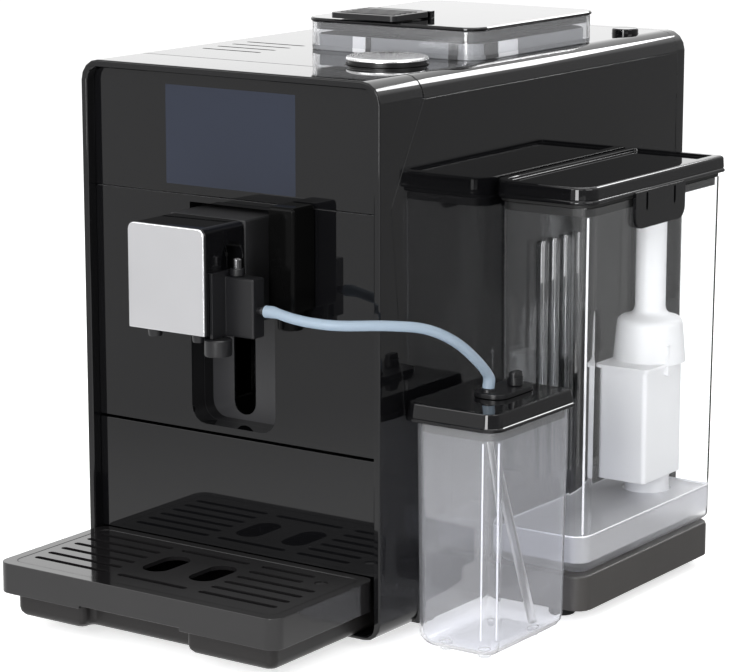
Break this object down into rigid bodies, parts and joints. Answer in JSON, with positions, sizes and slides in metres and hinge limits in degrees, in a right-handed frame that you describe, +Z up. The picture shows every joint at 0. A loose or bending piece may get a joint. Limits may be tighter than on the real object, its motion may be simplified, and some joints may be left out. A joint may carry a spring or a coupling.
{
  "type": "coffee machine",
  "caption": "Countertop coffee machine with a sliding spout, drip tray, grounds drawer, bean hopper, side water tank and a milk container joined by a hose.",
  "frame": {"origin": "centre of the footprint, on the surface that the machine stands on", "axes": "+X to the machine's right, seen from its front, where the tank and the milk container are; +Y to its back; +Z up"},
  "size_m": [0.3044, 0.4708, 0.3753],
  "materials": {
    "gloss_black": "polished black plastic",
    "dark_bezel": "satin charcoal plastic",
    "matte_black": "fine matte black plastic",
    "tray_brown": "satin dark brown-black plastic",
    "ledge_grey": "matte warm dark grey plastic",
    "front_glass": "black back-printed glass",
    "display_grey": "dark blue-grey display",
    "satin_silver": "satin silver",
    "light_chrome": "bright metal",
    "cap_grey": "mid grey plastic",
    "clear_tank": "clear bluish-grey plastic",
    "clear_hopper": "clear light grey plastic",
    "clear_hose": "translucent silicone",
    "filter_white": "white plastic",
    "seal_black": "matte black rubber",
    "foot_rubber": "matte black rubber",
    "frame_grey": "grey moulded plastic",
    "boiler_metal": "cast metal",
    "board_green": "green circuit board"
  },
  "bodies": {
    "housing": {"front_bezel": "dark_bezel", "side_panel_left": "gloss_black", "side_panel_right": "gloss_black", "top_panel": "gloss_black", "back_cover": "gloss_black", "power_inlet": "matte_black", "base_chassis": "ledge_grey", "foot_front_left": "foot_rubber", "foot_front_right": "foot_rubber", "foot_back_left": "foot_rubber", "foot_back_right": "foot_rubber", "foot_ledge_front": "foot_rubber", "foot_ledge_back": "foot_rubber", "upper_glass": "front_glass", "display_module": "display_grey", "middle_fascia": "gloss_black", "spout_recess": "matte_black", "hot_water_spout": "gloss_black", "hot_water_nozzle": "matte_black", "service_bay": "frame_grey", "inner_frame": "frame_grey", "grinder": "frame_grey", "grinder_motor": "boiler_metal", "brew_chamber": "frame_grey", "pump": "frame_grey", "coffee_boiler": "boiler_metal", "steam_boiler": "boiler_metal", "control_board": "board_green", "bean_hopper": "clear_hopper", "milk_hose": "clear_hose"},
    "spout": {"spout_carriage": "matte_black", "spout_head": "gloss_black", "spout_face_plate": "satin_silver", "coffee_nozzle_left": "matte_black", "coffee_nozzle_right": "matte_black", "frother_body": "gloss_black", "frother_cap": "cap_grey", "milk_outlet": "matte_black"},
    "grounds_drawer": {"grounds_drawer_front": "gloss_black", "grounds_container": "matte_black"},
    "drip_tray": {"drip_tray_basin": "tray_brown", "drip_tray_rim": "tray_brown"},
    "drip_grid": {"drip_grid": "tray_brown"},
    "tray_float": {"tray_float": "tray_brown"},
    "water_tank": {"water_tank": "clear_tank", "water_filter": "filter_white"},
    "tank_lid": {"tank_lid": "gloss_black", "tank_lid_seal": "seal_black"},
    "tank_valve": {"tank_valve": "matte_black"},
    "milk_container": {"milk_container": "clear_tank"},
    "milk_lid": {"milk_lid": "gloss_black", "milk_lid_seal": "seal_black", "milk_connector": "matte_black", "suction_tube": "clear_hose"},
    "milk_knob": {"milk_knob": "matte_black"},
    "hopper_lid": {"hopper_lid": "gloss_black"},
    "powder_flap": {"powder_flap": "matte_black"},
    "grinder_dial": {"grinder_dial": "light_chrome"},
    "power_button": {"power_button": "gloss_black"},
    "brew_piston": {"brew_piston": "boiler_metal"}
  },
  "joints": [
    {"name": "spout_slide", "type": "slide", "parent": "housing", "child": "spout", "axis": [0, 0, 1], "range_m": [-0.065, 0], "deforming": ["milk_hose"]},
    {"name": "grounds_drawer_slide", "type": "slide", "parent": "housing", "child": "grounds_drawer", "axis": [0, -1, 0], "range_m": [0, 0.14]},
    {"name": "drip_tray_slide", "type": "slide", "parent": "housing", "child": "drip_tray", "axis": [0, -1, 0], "range_m": [0, 0.15]},
    {"name": "drip_grid_lift", "type": "slide", "parent": "drip_tray", "child": "drip_grid", "axis": [0, 0, 1], "range_m": [0, 0.03]},
    {"name": "tray_float_rise", "type": "slide", "parent": "drip_grid", "child": "tray_float", "axis": [0, 0, 1], "range_m": [0, 0.008]},
    {"name": "water_tank_lift", "type": "slide", "parent": "housing", "child": "water_tank", "axis": [0, 0, 1], "range_m": [0, 0.12]},
    {"name": "tank_lid_hinge", "type": "hinge", "parent": "water_tank", "child": "tank_lid", "pos_m": [0.11435, 0.1574, 0.2642], "axis": [-1, 0, 0], "range_deg": [0, 95]},
    {"name": "tank_valve_plunger", "type": "slide", "parent": "water_tank", "child": "tank_valve", "axis": [0, 0, 1], "range_m": [0, 0.003], "stiffness_N_per_m": 300},
    {"name": "milk_container_slide", "type": "slide", "parent": "housing", "child": "milk_container", "axis": [1, 0, 0], "range_m": [0, 0.06], "deforming": ["milk_hose"]},
    {"name": "milk_lid_lift", "type": "slide", "parent": "milk_container", "child": "milk_lid", "axis": [0, 0, 1], "range_m": [0, 0.15], "deforming": ["milk_hose"]},
    {"name": "milk_knob_turn", "type": "hinge", "parent": "milk_lid", "child": "milk_knob", "pos_m": [0.12335, -0.0589, 0.1593], "axis": [0, 0, 1], "range_deg": [0, 90]},
    {"name": "hopper_lid_lift", "type": "slide", "parent": "housing", "child": "hopper_lid", "axis": [0, 0, 1], "range_m": [0, 0.03]},
    {"name": "powder_flap_hinge", "type": "hinge", "parent": "hopper_lid", "child": "powder_flap", "pos_m": [-0.02015, 0.0271, 0.3732], "axis": [-1, 0, 0], "range_deg": [0, 85]},
    {"name": "grinder_dial_turn", "type": "hinge", "parent": "housing", "child": "grinder_dial", "pos_m": [0.02455, -0.0539, 0.35], "axis": [0, 0, 1], "range_deg": [-150, 150]},
    {"name": "power_button_press", "type": "slide", "parent": "housing", "child": "power_button", "axis": [0, 0, -1], "range_m": [0, 0.003], "stiffness_N_per_m": 500},
    {"name": "brew_piston_slide", "type": "slide", "parent": "housing", "child": "brew_piston", "axis": [0, 0, 1], "range_m": [0, 0.028]}
  ]
}
